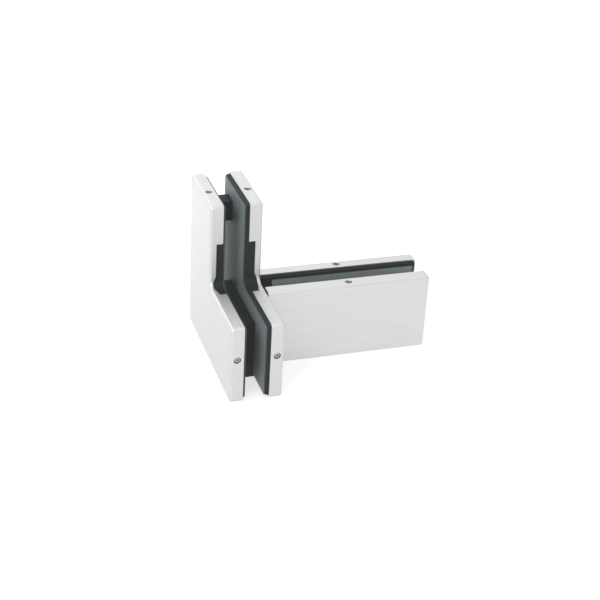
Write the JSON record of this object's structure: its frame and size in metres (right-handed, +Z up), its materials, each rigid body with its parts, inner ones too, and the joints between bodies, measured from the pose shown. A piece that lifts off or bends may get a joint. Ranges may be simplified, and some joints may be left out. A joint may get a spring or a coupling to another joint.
{
  "type": "glass door patch fitting",
  "caption": "L-shaped corner patch fitting for frameless glass, with a straight clamp at right angles to it for a glass fin; dark castings under satin stainless covers.",
  "frame": {"origin": "on the underside, where the mid-planes of the two glass slots cross", "axes": "+X runs along the fin clamp to its free end, -Y points to the front end of the L's horizontal leg, +Z up along its vertical leg"},
  "size_m": [0.1458, 0.109, 0.109],
  "materials": {
    "stainless": "satin",
    "casting": "cast, dark grey coating",
    "gasket": "matt sheet",
    "fastener": "dark oxide"
  },
  "bodies": {
    "root": {"left_cover": "stainless", "right_cover": "stainless", "left_clamp_plate": "casting", "right_body": "casting", "left_gasket": "gasket", "right_gasket": "gasket", "clamp_bolts": "fastener", "left_cover_screws": "stainless", "right_cover_screws": "stainless", "fin_front_cover": "stainless", "fin_rear_cover": "stainless", "fin_body": "casting", "fin_clamp_plate": "casting", "fin_front_gasket": "gasket", "fin_rear_gasket": "gasket", "fin_clamp_bolts": "fastener", "fin_mounting_bolts": "fastener", "fin_mounting_washers": "fastener", "fin_front_cover_screws": "stainless", "fin_rear_cover_screws": "stainless"}
  },
  "joints": []
}
